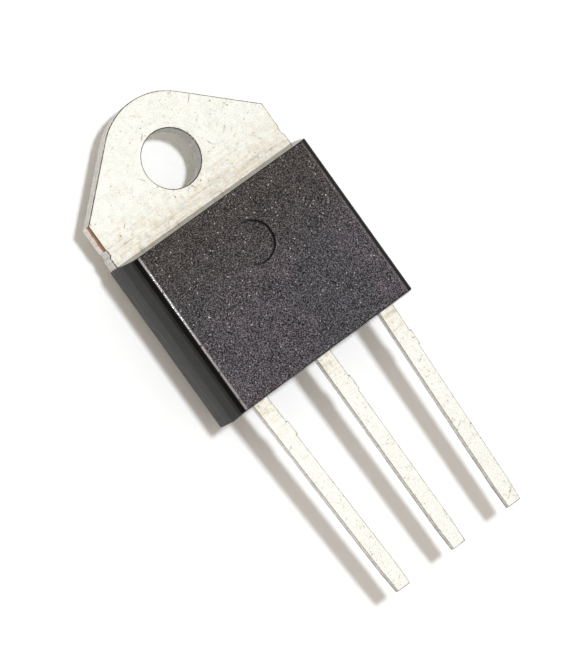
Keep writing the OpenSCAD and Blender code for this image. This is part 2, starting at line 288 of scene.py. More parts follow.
def build_specks_group():
    """Round specks scattered at random, one at most in each cell."""
    g, given, out = new_group("Specks", [("Vector", "v", None), ("Spacing", "f", 0.4),
                                         ("Size", "f", 0.12), ("Share", "f", 0.3)],
                              [("Mask", "f"), ("Random", "f")])
    cells = g.add("ShaderNodeTexVoronoi", {"Vector": given["Vector"],
                                           "Scale": g.math("DIVIDE", 1.0, given["Spacing"])})
    chance, size, tone = g.add("ShaderNodeSeparateColor", {0: cells.outputs["Color"]}).outputs
    reach = g.times(given["Size"], g.plus(size, 0.35))
    spot = g.ramp(cells.outputs["Distance"], g.times(reach, 0.6), reach, 1.0, 0.0)
    g.feed(out["Mask"], g.times(spot, g.math("LESS_THAN", chance, given["Share"])))
    g.feed(out["Random"], tone)


def build_scratches_group():
    """Short fine lines that all run one way, a little bent."""
    g, given, out = new_group("Scratches", [("Vector", "v", None), ("Angle", "f", 0.0),
                                            ("Length", "f", 4.0), ("Width", "f", 0.2),
                                            ("Share", "f", 0.2)], [("Mask", "f")])
    bend = g.add("ShaderNodeTexNoise", {"Vector": given["Vector"], "Scale": 0.45, "Detail": 1.0})
    bent = g.vector("ADD", given["Vector"], g.scaled(bend.outputs["Color"], (0.7, 0.7, 0.0)))
    turned = g.add("ShaderNodeVectorRotate", {"Vector": bent, "Angle": given["Angle"]},
                   rotation_type="Z_AXIS").outputs[0]
    cell = g.add("ShaderNodeCombineXYZ", {0: given["Length"], 1: given["Width"], 2: 5.0}).outputs[0]
    cells = g.group("Specks", Vector=g.vector("DIVIDE", turned, cell), Spacing=1.0, Size=0.42,
                    Share=given["Share"])
    gaps = g.ramp(g.noise(given["Vector"], 0.35), 0.35, 0.6)
    g.feed(out["Mask"], g.times(cells["Mask"], gaps))


def build_edge_wear_group():
    """Rounded edges, broken up by a noise."""
    g, given, out = new_group("Painted edge", [("Vector", "v", None), ("Edge", "f", 0.0),
                                            ("Breakup", "f", 0.3), ("Amount", "f", 0.5)],
                              [("Mask", "f")])
    low = g.minus(0.62, g.times(given["Amount"], 0.4))
    broken = g.ramp(g.noise(given["Vector"], given["Breakup"], 3.0, 0.6), low, g.plus(low, 0.16))
    g.feed(out["Mask"], g.times(broken, given["Edge"]))


def build_shear_group():
    """Sides of a punched sheet: a burnished strip over a rough torn one, by height."""
    g, given, out = new_group("Sheared side", [("Vector", "v", None), ("Split", "f", 1.1),
                                               ("Burnished", "c", None), ("Torn", "c", None)],
                              [("Color", "c"), ("Height", "f")])
    height = g.split(given["Vector"])[2]
    ragged = g.times(g.minus(g.noise(given["Vector"], 0.5, 3.0), 0.5), 0.5)
    torn = g.ramp(g.minus(g.plus(height, ragged), given["Split"]), -0.05, 0.05, 1.0, 0.0)
    streaks = g.noise(g.scaled(given["Vector"], (9.0, 9.0, 0.7)), 1.0, 3.0, 0.6)
    base = g.blend(torn, given["Burnished"], given["Torn"])
    g.feed(out["Color"], g.scaled(base, g.ramp(streaks, 0.25, 0.75, 0.78, 1.08)))
    g.feed(out["Height"], streaks)


# ---- materials ----

def finish(slot):
    return bpy.data.materials[FINISHES[slot]]


def empty_graph(owner):
    """The graph of a new material or world, without the nodes that it starts with."""
    owner.use_nodes = True
    owner.node_tree.nodes.clear()
    return Graph(owner.node_tree)


def new_material(name):
    """A material with its Principled shader, and coordinates in millimetres."""
    material = bpy.data.materials.new(name)
    if material.name != name:
        raise RuntimeError(f"there is another material named {name}")
    g = empty_graph(material)
    shader = g.add("ShaderNodeBsdfPrincipled")
    g.add("ShaderNodeOutputMaterial", {"Surface": shader.outputs[0]})
    return material, g, shader, g.scaled(g.coordinates("Object"), 1.0 / MM)


def bump(g, shader, height, depth):
    """Bump on the shader's normal, with the depth in millimetres."""
    made = g.add("ShaderNodeBump", {"Height": height, "Distance": depth * MM, "Strength": 1.0})
    g.feed(shader.inputs["Normal"], made.outputs[0])


def moulding_material(sizes):
    """Eroded front face, polished chamfers, and smoother walls."""
    material, g, shader, vector = new_material(FINISHES["moulding"])
    place, facing = g.split(vector), g.split(g.coordinates("Normal"))
    grain = g.group("Grain", Vector=vector, Size=sizes.grain / MM, Patch=sizes.patch / MM)
    # masks: the face looks straight up, the chamfers are tilted and the ends look along Y
    raised = g.ramp(place[2], BODY_HIGH.z - FACE_DEPTH - 0.05, BODY_HIGH.z - FACE_DEPTH)
    face = g.times(g.ramp(facing[2], 0.86, 0.97), raised)
    chamfer = g.times(g.ramp(facing[2], 0.40, 0.55), g.ramp(facing[2], 0.84, 0.94, 1.0, 0.0), raised)
    end = g.ramp(g.absolute(facing[1]), 0.80, 0.95)
    # the front face's tone: warm and dark at the tab, with bluish patches towards the leads
    cool = g.ramp(g.noise(vector, 5.0, 1.0), 0.46, 0.62)
    tone = g.blend(cool, sizes.lower_colour, sizes.cool_colour)
    near_tab = g.ramp(place[1], BODY_LOW.y + 4.2, BODY_HIGH.y - 1.2)
    tone = g.blend(near_tab, tone, sizes.face_colour)
    shade = g.plus(g.ramp(grain["Fine"], 0.25, 1.0, 0.0, 5.5), g.times(grain["Patches"], 0.45))
    etched = g.scaled(tone, shade)
    # bright sparks, and pits darkened with painted shade
    sparks = g.group("Specks", Vector=vector, Spacing=0.15, Size=0.30, Share=0.22)
    bright = g.ramp(sparks["Random"], 0.3, 1.0, 0.2, 1.0)
    etched = g.paint(etched, sparks["Mask"], bright, sizes.spark_colour)
    moved = g.vector("ADD", vector, (2.3, 5.1, 0.7))
    pits = g.group("Specks", Vector=moved, Spacing=0.16, Size=0.30, Share=0.28)
    etched = g.paint(etched, pits["Mask"], 0.7, sizes.pit_shade_colour)
    # painted shade and shadow in the pin mark's rim, darkest on its +X side
    off = g.scaled(g.vector("SUBTRACT", vector, (*PIN_MARK, 0.0)), (1.0, 1.0, 0.0))
    off_x, off_y, _ = g.split(off)
    reach = g.math("SQRT", g.plus(g.times(off_x, off_x), g.times(off_y, off_y)))
    ring = g.ramp(g.absolute(g.minus(reach, PIN_RADIUS - 0.03)), 0.03, 0.09, 1.0, 0.0)
    turned = g.minus(g.times(off_x, 0.85), g.times(off_y, 0.35))
    ring = g.times(ring, raised, g.ramp(turned, -1.3, 0.6, 0.1, 1.0))
    etched = g.blend(ring, etched, sizes.ring_shade_colour)
    # walls: fine streaks along them, and painted light from the floor, paler towards the back
    streaks = g.noise(g.scaled(vector, (0.3, 0.3, 7.0)), 0.8, 4.0, 0.7)
    painted_floor_glow = g.scaled(sizes.wall_colour, g.ramp(place[2], 0.0, BODY_HIGH.z * 0.8, 3.7, 0.7))
    wall = g.scaled(painted_floor_glow, g.ramp(streaks, 0.3, 0.7, 0.35, 1.65))
    # the chamfers take their painted-shade colour
    base = g.blend(chamfer, g.blend(face, wall, etched), sizes.chamfer_shade_colour)
    # a pale rim along the face's two long edges, a painted glint, broken up by a noise and stronger on the
    # -X one
    rim = g.ramp(g.absolute(place[0]), FACE_HALF - 0.19, FACE_HALF - 0.12)
    rim = g.times(rim, face, g.ramp(place[0], -6.5, 6.5, 1.0, 0.25))
    painted_edge = g.group("Painted edge", Vector=vector, Edge=rim, Breakup=0.35, Amount=0.9)["Mask"]
    g.feed(shader.inputs["Base Color"], g.paint(base, painted_edge, 0.8, sizes.glint_colour))
    # polish: smooth ends and the glinting rim, chamfers glossy on the -X side and dull on the other
    rough = g.minus(g.ramp(face, 0.0, 1.0, 0.66, 0.68), g.times(end, 0.46))
    rough = g.minus(rough, g.times(chamfer, g.ramp(place[0], -5.0, 5.0, 0.50, -0.30)))
    grainy = g.times(g.minus(0.5, grain["Fine"]), g.ramp(face, 0.0, 1.0, 0.12, 0.46))
    rough = g.plus(rough, g.times(ring, 0.3), grainy, g.times(pits["Mask"], face, 0.25))
    g.feed(shader.inputs["Roughness"], g.minus(rough, g.times(painted_edge, 0.45)))
    shader.inputs["IOR"].default_value = 1.45
    height = g.minus(grain["Height"], g.times(pits["Mask"], 0.6))
    height = g.times(height, g.ramp(face, 0.0, 1.0, 0.15, 1.0), g.minus(1.0, painted_edge))
    bump(g, shader, height, 0.045)
    return material


def hairlines(g, vector):
    """Thin lines along the borders of large, bent cells."""
    bend = g.add("ShaderNodeTexNoise", {"Vector": vector, "Scale": 2.5}).outputs["Color"]
    bent = g.vector("ADD", vector, g.scaled(bend, (0.5, 0.5, 0.5)))
    cells = g.add("ShaderNodeTexVoronoi", {"Vector": bent, "Scale": 1.5}, feature="DISTANCE_TO_EDGE")
    return g.ramp(cells.outputs[0], 0.010, 0.045, 1.0, 0.0)


def tie_bar_mask(g, place):
    """1 on the cut ends of the tie bars, which stand out of the tab's sides."""
    low, high = TIE_BAR_Y
    proud = g.ramp(g.absolute(place[0]), TAB_HIGH.x - 0.13, TAB_HIGH.x - 0.10)
    above = g.ramp(place[1], low - 0.05, low + 0.05)
    below = g.ramp(place[1], high - 0.05, high + 0.05, 1.0, 0.0)
    return g.times(proud, above, below)


def plating_material(name, metal, on_tab, root_y):
    """Matt tin over copper. Sides are sheared, and the plating is stained towards the moulding."""
    material, g, shader, vector = new_material(name)
    place, facing = g.split(vector), g.split(g.coordinates("Normal"))
    side = g.ramp(g.absolute(facing[2]), 0.25, 0.55, 1.0, 0.0)
    near_root = g.ramp(g.absolute(g.minus(place[1], root_y)), 0.3, 3.4, 1.0, 0.0)
    grain = g.group("Grain", Vector=vector, Size=0.075, Patch=0.5)
    cloud = g.noise(vector, 0.26, 5.0, 0.75)
    darkest = 0.76 if on_tab else 0.82
    shade = g.plus(g.ramp(grain["Fine"], 0.20, 0.70, darkest, 1.05), g.times(grain["Patches"], 0.035))
    base = g.scaled(metal.plating, shade)
    if not on_tab:
        base = g.scaled(base, (1.02, 1.02, 1.03))
    # tan stains, thicker near the moulding, and brown specks and pits
    stain = g.ramp(g.plus(g.times(near_root, 0.12), cloud), 0.54, 0.80, 0.0, 0.75)
    base = g.blend(stain, base, g.scaled(metal.stain, (1.30, 1.5, 1.65)))
    specks = g.group("Specks", Vector=vector, Spacing=0.20, Size=0.26, Share=0.36 if on_tab else 0.5)
    base = g.paint(base, specks["Mask"], g.ramp(cloud, 0.42, 0.60, 0.15, 0.9),
                   g.scaled(metal.stain, (0.8, 0.85, 0.9)))
    moved = g.vector("ADD", vector, (3.1, 1.7, 0.4))
    pits = g.group("Specks", Vector=moved, Spacing=0.42, Size=0.17, Share=0.25)
    base = g.paint(base, pits["Mask"], g.ramp(cloud, 0.45, 0.6, 0.2, 0.8), metal.pit)
    # hairlines, scratches two ways, and streaks across the part near the moulding
    cracks = g.times(hairlines(g, vector), g.ramp(cloud, 0.50, 0.62))
    base = g.paint(base, cracks, 0.25 if on_tab else 0.4, metal.crack)
    lines = g.math("MAXIMUM", *(
        g.group("Scratches", Vector=vector, Angle=angle, Length=run, Width=width, Share=0.035)["Mask"]
        for angle, run, width in ((0.95, 1.7, 0.10), (-0.70, 1.2, 0.09))))
    base = g.paint(base, lines, 0.5, metal.scratch)
    streak = g.ramp(g.noise(g.scaled(vector, (0.45, 9.0, 1.0)), 1.0, 5.0, 0.65), 0.48, 0.68)
    streak = g.times(streak, near_root, 0.75 if on_tab else 0.5)
    base = g.paint(base, streak, g.ramp(grain["Fine"], 0.30, 0.65, 0.35, 1.0),
                   g.scaled(metal.stain, (0.9, 1.05, 1.25)))
    # sheared sides
    split, upper, lower = (1.0, 0.96, 0.88) if on_tab else (LEAD_LOW.z + 0.35, 0.84, 0.42)
    sheared = g.group("Sheared side", Vector=vector, Split=split, Burnished=g.scaled(metal.shear, upper),
                      Torn=g.scaled(metal.shear, lower))
    cut = sheared["Color"]
    if on_tab:  # painted shade: the hole's wall is painted darker than the outer sides
        out = g.scaled(vector, (1.0, 1.0, 0.0))
        out = g.add("ShaderNodeVectorMath", {0: out}, operation="LENGTH").outputs["Value"]
        cut = g.scaled(cut, g.ramp(out, HOLE_RADIUS + 0.05, HOLE_RADIUS + 0.2, 0.62, 0.82))
    base = g.blend(side, base, cut)
    # painted shade darkens the rounded edges, broken up by a noise
    edge = g.add("ShaderNodeAttribute", attribute_name=EDGE).outputs["Fac"]
    painted_edge = g.group("Painted edge", Vector=vector, Edge=edge, Breakup=0.16, Amount=0.75)["Mask"]
    if not on_tab:  # the painted shade is lighter on the leads' -X edges
        painted_edge = g.times(painted_edge, g.ramp(facing[0], -0.3, 0.1, 0.35, 1.0))
    base = g.paint(base, painted_edge, 0.93, metal.painted_edge)
    # the cut tie bars: torn copper below, and above it a dark strip of painted shade under the burr
    if on_tab:
        copper = g.group("Sheared side", Vector=vector, Split=0.98, Burnished=metal.burr_shaded_copper,
                         Torn=metal.bare_copper)
        base = g.blend(tie_bar_mask(g, place), base, copper["Color"])
    g.feed(shader.inputs["Base Color"], base)
    g.feed(shader.inputs["Metallic"], g.minus(1.0, g.times(side, 0.5)))
    rough = g.plus(0.66, g.times(g.minus(grain["Fine"], 0.5), 0.16),
                   g.times(g.minus(grain["Patches"], 0.5), 0.05), g.times(lines, 0.10))
    g.feed(shader.inputs["Roughness"], g.minus(rough, g.times(side, 0.2)))
    height = g.plus(g.times(grain["Height"], 0.5), g.times(pits["Mask"], -0.5),
                    g.times(sheared["Height"], side), g.times(lines, -0.4))
    bump(g, shader, height, 0.012)
    return material


def metal_material(name, tint, roughness, size, dark):
    """Bare copper and solder: a mottled metal with small pits."""
    material, g, shader, vector = new_material(name)
    grain = g.group("Grain", Vector=vector, Size=size, Patch=size * 9)
    pits = g.group("Specks", Vector=vector, Spacing=size * 5, Size=0.2, Share=0.3)
    base = g.scaled(tint, g.plus(g.times(grain["Patches"], 0.25), 0.8))
    base = g.blend(g.times(pits["Mask"], 0.6), base, dark)
    g.feed(shader.inputs["Base Color"], base)
    shader.inputs["Metallic"].default_value = 1.0
    g.feed(shader.inputs["Roughness"],
           g.plus(roughness, g.times(g.minus(grain["Fine"], 0.5), 0.2)))
    bump(g, shader, g.minus(grain["Height"], pits["Mask"]), 0.01)
    return material


def alumina_material(inner):
    """Fine matt ceramic."""
    material, g, shader, vector = new_material(FINISHES["alumina"])
    grain = g.group("Grain", Vector=vector, Size=0.04, Patch=1.4)
    base = g.scaled(inner.alumina, g.plus(g.times(grain["Patches"], 0.08), 0.94))
    g.feed(shader.inputs["Base Color"], base)
    g.feed(shader.inputs["Roughness"], g.plus(0.55, g.times(grain["Fine"], 0.15)))
    bump(g, shader, grain["Height"], 0.006)
    return material


def silicon_material(inner):
    """Polished chip with a fine rim of guard rings."""
    material, g, shader, vector = new_material(FINISHES["silicon"])
    low, high = (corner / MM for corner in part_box("triac_chip"))
    middle, half = (low + high) / 2, (high.x - low.x) / 2
    place = g.split(vector)
    across = g.absolute(g.minus(place[0], middle.x))
    along = g.absolute(g.minus(place[1], middle.y))
    inset = g.minus(half, g.math("MAXIMUM", across, along))
    rings = g.math("SINE", g.times(inset, 52.0))
    rim = g.times(g.ramp(inset, 0.42, 0.45, 1.0, 0.0), g.ramp(rings, 0.2, 0.6))
    grain = g.group("Grain", Vector=vector, Size=0.03, Patch=1.2)
    base = g.scaled(inner.silicon, g.plus(g.times(grain["Patches"], 0.2), 0.85))
    g.feed(shader.inputs["Base Color"], g.blend(rim, base, (0.35, 0.33, 0.22)))
    g.feed(shader.inputs["Roughness"], g.plus(0.18, g.times(grain["Fine"], 0.08)))
    bump(g, shader, rim, 0.002)
    return material


def grain_material():
    """Bare grains of silica filler."""
    material, g, shader, vector = new_material("silica_filler")
    grain = g.group("Grain", Vector=vector, Size=0.02, Patch=0.3)
    g.feed(shader.inputs["Base Color"], g.blend(grain["Patches"], (0.45, 0.44, 0.45), (0.90, 0.90, 0.93)))
    g.feed(shader.inputs["Roughness"], g.plus(0.22, g.times(grain["Fine"], 0.2)))
    bump(g, shader, grain["Fine"], 0.003)
    return material


def build_shader_groups():
    for build in (build_grain_group, build_specks_group, build_scratches_group, build_edge_wear_group,
                  build_shear_group):
        build()


# ---- meshes ----

def merged_mesh(node):
    """A copy of a CAD node's mesh in millimetres, with its doubles merged and its flat faces whole."""
    bm = bmesh.new()
    bm.from_mesh(NODES[node].data)
    bmesh.ops.scale(bm, vec=(1 / MM,) * 3, verts=bm.verts)
    bmesh.ops.remove_doubles(bm, verts=bm.verts, dist=1e-4)
    bmesh.ops.dissolve_limit(bm, angle_limit=math.radians(0.3), verts=bm.verts, edges=bm.edges)
    for face in bm.faces:
        face.smooth = False
    return bm


def sharp_edges(bm, degrees=20):
    limit = math.radians(degrees)
    return [e for e in bm.edges if len(e.link_faces) == 2 and e.calc_face_angle(0.0) > limit]


def round_edges(bm, edges, radius, segments=3):
    """Rounds the edges and marks the new faces in the edge attribute."""
    layer = bm.faces.layers.float.get(EDGE) or bm.faces.layers.float.new(EDGE)
    made = bmesh.ops.bevel(bm, geom=edges, offset=radius, offset_type="OFFSET", segments=segments,
                           profile=0.5, affect="EDGES", clamp_overlap=True)
    for face in made["faces"]:
        face[layer] = 1.0
        face.smooth = True


def cut_across(bm, axis, low, high, step):
    """Cuts the mesh at equal steps along an axis, so that its edges can wander."""
    normal = Vector((0, 0, 0))
    normal[axis] = 1.0
    count = max(1, round((high - low) / step))
    for i in range(count + 1):
        point = normal * (low + (high - low) * i / count)
        bmesh.ops.bisect_plane(bm, geom=bm.verts[:] + bm.edges[:] + bm.faces[:], dist=1e-5,
                               plane_co=point, plane_no=normal)


def new_object(name, data):
    made = bpy.data.objects.new(name, data)
    bpy.context.scene.collection.objects.link(made)
    return made


def new_mesh(name, bm):
    """The bmesh as a mesh; the bmesh is freed."""
    mesh = bpy.data.meshes.new(name)
    bm.to_mesh(mesh)
    bm.free()
    return mesh


def scratch_object(bm, name):
    return new_object(name, new_mesh(name, bm))


def place_piece(mesh, name, material):
    """Makes a piece of a mesh in metres. It rides on the body."""
    mesh.materials.clear()
    mesh.materials.append(material)
    piece = new_object(name, mesh)
    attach(piece, BODY)
    return piece


def finish_piece(bm, name, material):
    """Makes a piece of a bmesh in millimetres."""
    bmesh.ops.triangulate(bm, faces=[f for f in bm.faces if len(f.verts) > 4])
    bmesh.ops.scale(bm, vec=(MM,) * 3, verts=bm.verts)
    return place_piece(new_mesh(name, bm), name, material)


def delete_object(obj):
    mesh = obj.data
    bpy.data.objects.remove(obj)
    bpy.data.meshes.remove(mesh)


def evaluated_mesh(obj, name):
    """The object's mesh with its modifiers applied, as plain data; the object is deleted."""
    graph = bpy.context.evaluated_depsgraph_get()
    mesh = bpy.data.meshes.new_from_object(obj.evaluated_get(graph), depsgraph=graph)
    delete_object(obj)
    if not mesh.polygons:
        raise RuntimeError(f"{name} came out empty")
    mesh.name = name
    return mesh


def reopened(mesh):
    """The mesh as a bmesh; the mesh itself is deleted."""
    bm = bmesh.new()
    bm.from_mesh(mesh)
    bpy.data.meshes.remove(mesh)
    return bm


def outer_planes(bm):
    """The planes (normal, distance) of the flat outer faces that the whole mesh lies behind."""
    planes = []
    for face in bm.faces:
        distance = face.normal.dot(face.verts[0].co)
        if face.calc_area() < 0.5 or any(face.normal.dot(n) > 0.9999 for n, _ in planes):
            continue
        if all(face.normal.dot(v.co) < distance + 1e-3 for v in bm.verts):
            planes.append((face.normal.copy(), distance))
    return planes


def rounded_hull(bm, radius, grow=1e-3):
    """A closed convex form round a mesh, a hair larger than it, with its edges rounded."""
    hull = bmesh.new()
    for v in bm.verts:
        hull.verts.new(v.co)
    made = bmesh.ops.convex_hull(hull, input=hull.verts)
    bmesh.ops.delete(hull, geom=[v for v in made["geom_interior"] if isinstance(v, bmesh.types.BMVert)],
                     context="VERTS")
    bmesh.ops.dissolve_limit(hull, angle_limit=math.radians(0.3), verts=hull.verts, edges=hull.edges)
    middle = (BODY_LOW + BODY_HIGH) / 2
    for v in hull.verts:
        v.co = middle + (v.co - middle) * (1 + grow / 8)
    round_edges(hull, sharp_edges(hull, 8), radius, 6)
    bmesh.ops.triangulate(hull, faces=hull.faces)
    bmesh.ops.recalc_face_normals(hull, faces=hull.faces)
    return hull


def smooth_rounded(bm, planes, radius):
    """Smooths the faces of the outer rounded edges, which lie near two outer planes."""
    for face in bm.faces:
        centre = face.calc_center_median()
        depths = sorted(distance - normal.dot(centre) for normal, distance in planes)
        tilted = all(face.normal.dot(normal) < 0.9995 for normal, _ in planes)
        face.smooth = tilted and depths[1] < radius and depths[0] > -0.01


# ---- geometry nodes ----

CRUMB_INPUTS = [("Smallest", "f"), ("Largest", "f"), ("Stretch", "v"), ("Seed", "i"), ("Material", "m")]


def new_geometry_tree(name, inputs):
    """An empty tree with its own inputs and those of the crumbs."""
    tree = bpy.data.node_groups.new(name, "GeometryNodeTree")
    for label, kind in [("Geometry", "g"), *inputs, *CRUMB_INPUTS]:
        tree.interface.new_socket(name=label, in_out="INPUT", socket_type=SOCKETS[kind])
    tree.interface.new_socket(name="Geometry", in_out="OUTPUT", socket_type="NodeSocketGeometry")
    g = Graph(tree)
    return g, g.add("NodeGroupInput").outputs, g.add("NodeGroupOutput").inputs


def random_value(g, kind, low, high, seed):
    """A random number or vector for each point."""
    first, made = {"FLOAT": (2, 1), "FLOAT_VECTOR": (0, 0)}[kind]
    return g.add("FunctionNodeRandomValue", {first: low, first + 1: high, "Seed": seed},
                 data_type=kind).outputs[made]


def crumbs_on_points(g, given, out, points):
    """Puts a small flattened grain on each point, turned and sized at random."""
    grain = g.add("GeometryNodeMeshIcoSphere", {"Radius": 1.0, "Subdivisions": 1}).outputs[0]
    size = random_value(g, "FLOAT", given["Smallest"], given["Largest"], given["Seed"])
    turn = random_value(g, "FLOAT_VECTOR", (0.0,) * 3, (math.tau,) * 3, given["Seed"])
    placed = g.add("GeometryNodeInstanceOnPoints", {
        "Points": points, "Instance": grain, "Rotation": turn, "Scale": g.scaled(given["Stretch"], size)})
    real = g.add("GeometryNodeRealizeInstances", {0: placed.outputs[0]}).outputs[0]
    done = g.add("GeometryNodeSetMaterial", {"Geometry": real, "Material": given["Material"]}).outputs[0]
    g.feed(out["Geometry"], done)


def build_scatter_tree():
    """Grains scattered over the faces of a mesh."""
    g, given, out = new_geometry_tree("Grains on a face", [("Density", "f")])
    spread = g.add("GeometryNodeDistributePointsOnFaces", {
        "Mesh": given["Geometry"], "Density": given["Density"], "Seed": given["Seed"]})
    crumbs_on_points(g, given, out, spread.outputs["Points"])


def build_edge_tree():
    """Crumbs in a row along the edges of a mesh, each a little off the line."""
    g, given, out = new_geometry_tree("Crumbs along an edge", [("Step", "f"), ("Wander", "v")])
    path = g.add("GeometryNodeMeshToCurve", {"Mesh": given["Geometry"]}).outputs[0]
    even = g.add("GeometryNodeResampleCurve", {"Curve": path, "Length": given["Step"]}, mode="LENGTH")
    back = g.scaled(given["Wander"], -1.0)
    offset = random_value(g, "FLOAT_VECTOR", back, given["Wander"], given["Seed"])
    moved = g.add("GeometryNodeSetPosition", {"Geometry": even.outputs[0], "Offset": offset}).outputs[0]
    crumbs_on_points(g, given, out, moved)


def run_geometry_tree(obj, tree_name, name, **values):
    """Runs a geometry tree on an object and gives the plain mesh."""
    modifier = obj.modifiers.new(tree_name, "NODES")
    modifier.node_group = bpy.data.node_groups[tree_name]
    for item in modifier.node_group.interface.items_tree:
        if item.in_out == "INPUT" and item.name in values:
            modifier[item.identifier] = values[item.name]
    missing = set(values) - {i.name for i in modifier.node_group.interface.items_tree}
    if missing:
        raise RuntimeError(f"{tree_name} has no input named {sorted(missing)}")
    return evaluated_mesh(obj, name)


def polyline_object(lines, name):
    """Loose edges in metres through rows of points given in millimetres."""
    bm = bmesh.new()
    for line in lines:
        verts = [bm.verts.new(Vector(p) * MM) for p in line]
        for a, b in zip(verts, verts[1:]):
            bm.edges.new((a, b))
    return scratch_object(bm, name)


# ---- operators ----

class TRIAC_OT_finishes(bpy.types.Operator):
    """Builds the shader node groups and the materials of every piece"""
    bl_idname = "triac.finishes"
    bl_label = "Finishes"

    def execute(self, context):
        scene = context.scene
        metal, inner = scene.triac_metal, scene.triac_inner
        build_shader_groups()
        moulding_material(scene.triac_moulding)
        plating_material(FINISHES["tab_plating"], metal, True, TAB_FACE_Y)
        plating_material(FINISHES["lead_plating"], metal, False, LEAD_ROOT_Y)
        metal_material(FINISHES["bare_copper"], inner.copper, 0.35, 0.05, (0.20, 0.10, 0.06))
        metal_material(FINISHES["solder"], inner.solder, 0.45, 0.03, (0.25, 0.25, 0.26))
        alumina_material(inner)
        silicon_material(inner)
        grain_material()
        return {"FINISHED"}


class TRIAC_OT_moulding(bpy.types.Operator):
    """Makes the moulding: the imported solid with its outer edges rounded"""
    bl_idname = "triac.moulding"
    bl_label = "Moulding"

    def execute(self, context):
        sizes = context.scene.triac_moulding
        radius = sizes.edge_radius / MM
        bm = merged_mesh("moulded_body")
        planes = outer_planes(bm)
        hull = scratch_object(rounded_hull(bm, radius), "rounded_hull")
        body = scratch_object(bm, "moulding")
        cut = body.modifiers.new("Round", "BOOLEAN")
        cut.operation, cut.object, cut.solver = "INTERSECT", hull, "EXACT"
        bm = reopened(evaluated_mesh(body, "moulding"))
        delete_object(hull)
        smooth_rounded(bm, planes, radius)
        piece = finish_piece(bm, "moulding", finish("moulding"))
        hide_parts("moulded_body")
        return {"FINISHED"}


class TRIAC_OT_filler_grains(bpy.types.Operator):
    """Scatters bare filler grains over the front face"""
    bl_idname = "triac.filler_grains"
    bl_label = "Filler grains"

    def execute(self, context):
        sizes = context.scene.triac_moulding
        build_scatter_tree()
        bm = bmesh.new()
        top = BODY_HIGH.z * MM
        half, low, high = GRAIN_FIELD[0], BODY_LOW.y + GRAIN_FIELD[1], BODY_HIGH.y - GRAIN_FIELD[2]
        corners = [(-half, low), (half, low), (half, high), (-half, high)]
        bm.faces.new([bm.verts.new((x * MM, y * MM, top)) for x, y in corners])
        base = scratch_object(bm, "front_face")
        silica = bpy.data.materials["silica_filler"]
        mesh = run_geometry_tree(base, "Grains on a face", "filler_grains",
                                 Density=sizes.grain_density / MM ** 2, Smallest=sizes.grain_small,
                                 Largest=sizes.grain_large, Stretch=(1.0, 1.0, 0.5), Seed=7,
                                 Material=silica)
        bm = reopened(mesh)
        bmesh.ops.scale(bm, vec=(1 / MM,) * 3, verts=bm.verts)
        for v in bm.verts:
            v.co.z = BODY_HIGH.z + min(v.co.z - BODY_HIGH.z, GRAIN_PROUD)
        in_mark = [v for v in bm.verts if (v.co.xy - Vector(PIN_MARK)).length < PIN_RADIUS + 0.12]
        bmesh.ops.delete(bm, geom=in_mark, context="VERTS")
        finish_piece(bm, "filler_grains", silica)
        return {"FINISHED"}


def wander(point, amount, size, seed):
    """A smooth random offset between plus and minus the amount."""
    return amount * (noise.noise(point / size + Vector((seed, 0, 0)))
                     + 0.6 * noise.noise(point / (size * 0.4) + Vector((0, seed, 0))))


class TRIAC_OT_tab(bpy.types.Operator):
    """Makes the plated tab with its header: rounded rims and sheared, slightly ragged sides"""
    bl_idname = "triac.tab"
    bl_label = "Tab"

    def execute(self, context):
        metal = context.scene.triac_metal
        step, cut = metal.mesh_step / MM * 1.5, metal.roughness_of_cut / MM
        dent = 0.006  # how far the faces wave
        bm = merged_mesh("heat_tab")
        rims = [e for e in sharp_edges(bm, 60) if abs(e.verts[0].co.z - e.verts[1].co.z) < 1e-3]
        round_edges(bm, rims, metal.tab_radius / MM, 2)
        cut_across(bm, 1, TAB_FACE_Y - 0.3, TAB_HIGH.y, step)
        cut_across(bm, 0, TAB_LOW.x, TAB_HIGH.x, step)
        bm.normal_update()
        for v in bm.verts:
            if v.co.y < TAB_FACE_Y + 0.05 or v.co.xy.length < HOLE_RADIUS + 0.1:
                continue
            side = Vector((v.normal.x, v.normal.y, 0.0))
            if side.length > 0.5:
                v.co += side.normalized() * min(0.0, wander(v.co, cut, 0.3, 3.0) - cut * 0.3)
            elif v.normal.z > 0.9:
                v.co.z += min(0.0, wander(v.co, dent, 1.6, 9.0) - 0.004)
        piece = finish_piece(bm, "tab", finish("tab_plating"))
        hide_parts("heat_tab")
        return {"FINISHED"}


